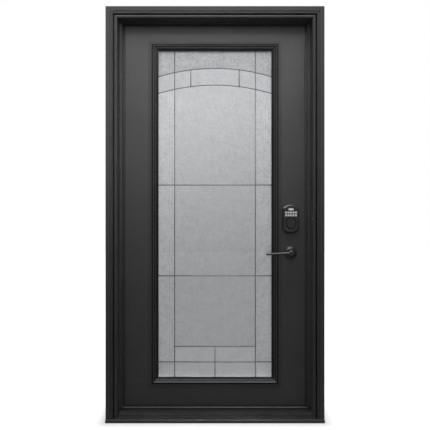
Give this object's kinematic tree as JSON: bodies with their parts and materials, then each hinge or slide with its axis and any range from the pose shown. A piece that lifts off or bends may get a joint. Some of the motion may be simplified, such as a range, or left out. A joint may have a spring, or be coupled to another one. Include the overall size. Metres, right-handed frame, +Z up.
{
  "type": "steel entry door",
  "caption": "Black steel entry door in its frame, with a tall decorative glass lite, keypad deadbolt and lever latch; swings inward on butt hinges.",
  "frame": {"origin": "underside of the sill at mid width, in the plane of the slab's outer face", "axes": "+X to the right seen from outside, +Y into the house, +Z up"},
  "size_m": [1.094, 0.2134, 2.079],
  "materials": {
    "painted_frame": "black satin paint on laminated timber",
    "painted_slab": "black satin paint on steel",
    "lite_frame": "black painted moulded frame",
    "seal": "foam-filled vinyl seal",
    "sill_aluminium": "dark anodised",
    "sill_composite": "grey composite",
    "hardware": "matte black powder coat",
    "steel": "plain steel",
    "timber": "laminated stile stock",
    "foam": "polyurethane foam",
    "spacer": "mill finish",
    "clear_glass": "clear toughened",
    "deco_glass": "textured obscure glass",
    "came": "dark patina",
    "key": "lit translucent white"
  },
  "bodies": {
    "frame": {"jamb_hinge_side": "painted_frame", "jamb_strike_side": "painted_frame", "jamb_head": "painted_frame", "brickmould_left": "painted_frame", "brickmould_right": "painted_frame", "brickmould_head": "painted_frame", "weatherstrip_hinge_side": "seal", "weatherstrip_strike_side": "seal", "weatherstrip_head": "seal", "sill_deck": "sill_aluminium", "sill_core": "sill_composite", "sill_cap": "sill_composite", "latch_strike": "hardware", "deadbolt_strike": "hardware", "hinge_frame_leaves": "hardware", "hinge_pins": "hardware", "frame_screws": "hardware"},
    "door": {"skin_exterior": "painted_slab", "skin_interior": "painted_slab", "hinge_stile": "timber", "lock_stile": "timber", "top_rail": "timber", "bottom_rail": "timber", "foam_core": "foam", "lite_frame_exterior": "lite_frame", "lite_frame_interior": "lite_frame", "glass_exterior": "clear_glass", "glass_decorative": "deco_glass", "glass_interior": "clear_glass", "came": "came", "glass_spacers": "spacer", "hinge_door_leaves": "hardware", "door_screws": "hardware", "door_sweep": "seal", "latch_case": "steel", "deadbolt_case": "steel", "rose_exterior": "hardware", "rose_interior": "hardware", "lock_escutcheon": "hardware", "key_cylinder": "hardware", "lock_cover": "hardware"},
    "lever": {"lever_exterior": "hardware", "lever_interior": "hardware", "lever_spindle": "steel"},
    "latch": {"latch_bolt": "steel"},
    "bolt": {"deadbolt": "steel"},
    "turn": {"thumb_turn": "hardware", "torque_blade": "steel"},
    "plug": {"key_plug": "steel"},
    "key_1": {"key_1": "key"},
    "key_2": {"key_2": "key"},
    "key_3": {"key_3": "key"},
    "key_4": {"key_4": "key"},
    "key_5": {"key_5": "key"},
    "key_6": {"key_6": "key"},
    "key_7": {"key_7": "key"},
    "key_8": {"key_8": "key"},
    "key_9": {"key_9": "key"},
    "key_0": {"key_0": "key"},
    "lock_key": {"lock_key": "key"}
  },
  "joints": [
    {"name": "door_swing", "type": "hinge", "parent": "frame", "child": "door", "pos_m": [-0.4885, 0.051, 0], "axis": [0, 0, 1], "range_deg": [0, 175]},
    {"name": "lever_turn", "type": "hinge", "parent": "door", "child": "lever", "pos_m": [0.39, 0, 0.839], "axis": [0, -1, 0], "range_deg": [0, 45], "stiffness_Nm_per_rad": 1.2, "springref_deg": -34.38},
    {"name": "latch_slide", "type": "slide", "parent": "door", "child": "latch", "axis": [-1, 0, 0], "range_m": [0, 0.0125]},
    {"name": "thumb_turn_spin", "type": "hinge", "parent": "door", "child": "turn", "pos_m": [0.39, 0, 0.99], "axis": [0, -1, 0], "range_deg": [0, 90]},
    {"name": "deadbolt_slide", "type": "slide", "parent": "door", "child": "bolt", "axis": [1, 0, 0], "range_m": [0, 0.0254]},
    {"name": "key_plug_turn", "type": "hinge", "parent": "door", "child": "plug", "pos_m": [0.39, 0, 0.99], "axis": [0, -1, 0], "range_deg": [-90, 90]},
    {"name": "key_1_press", "type": "slide", "parent": "door", "child": "key_1", "axis": [0, 1, 0], "range_m": [0, 0.0008], "stiffness_N_per_m": 600, "springref_m": -0.0006},
    {"name": "key_2_press", "type": "slide", "parent": "door", "child": "key_2", "axis": [0, 1, 0], "range_m": [0, 0.0008], "stiffness_N_per_m": 600, "springref_m": -0.0006},
    {"name": "key_3_press", "type": "slide", "parent": "door", "child": "key_3", "axis": [0, 1, 0], "range_m": [0, 0.0008], "stiffness_N_per_m": 600, "springref_m": -0.0006},
    {"name": "key_4_press", "type": "slide", "parent": "door", "child": "key_4", "axis": [0, 1, 0], "range_m": [0, 0.0008], "stiffness_N_per_m": 600, "springref_m": -0.0006},
    {"name": "key_5_press", "type": "slide", "parent": "door", "child": "key_5", "axis": [0, 1, 0], "range_m": [0, 0.0008], "stiffness_N_per_m": 600, "springref_m": -0.0006},
    {"name": "key_6_press", "type": "slide", "parent": "door", "child": "key_6", "axis": [0, 1, 0], "range_m": [0, 0.0008], "stiffness_N_per_m": 600, "springref_m": -0.0006},
    {"name": "key_7_press", "type": "slide", "parent": "door", "child": "key_7", "axis": [0, 1, 0], "range_m": [0, 0.0008], "stiffness_N_per_m": 600, "springref_m": -0.0006},
    {"name": "key_8_press", "type": "slide", "parent": "door", "child": "key_8", "axis": [0, 1, 0], "range_m": [0, 0.0008], "stiffness_N_per_m": 600, "springref_m": -0.0006},
    {"name": "key_9_press", "type": "slide", "parent": "door", "child": "key_9", "axis": [0, 1, 0], "range_m": [0, 0.0008], "stiffness_N_per_m": 600, "springref_m": -0.0006},
    {"name": "key_0_press", "type": "slide", "parent": "door", "child": "key_0", "axis": [0, 1, 0], "range_m": [0, 0.0008], "stiffness_N_per_m": 600, "springref_m": -0.0006},
    {"name": "lock_key_press", "type": "slide", "parent": "door", "child": "lock_key", "axis": [0, 1, 0], "range_m": [0, 0.0008], "stiffness_N_per_m": 600, "springref_m": -0.0006}
  ],
  "couplings": [
    {"joint": "latch_slide", "follows": "lever_turn", "m_per_rad": 0.015905},
    {"joint": "thumb_turn_spin", "follows": "deadbolt_slide", "rad_per_m": 61.837}
  ]
}
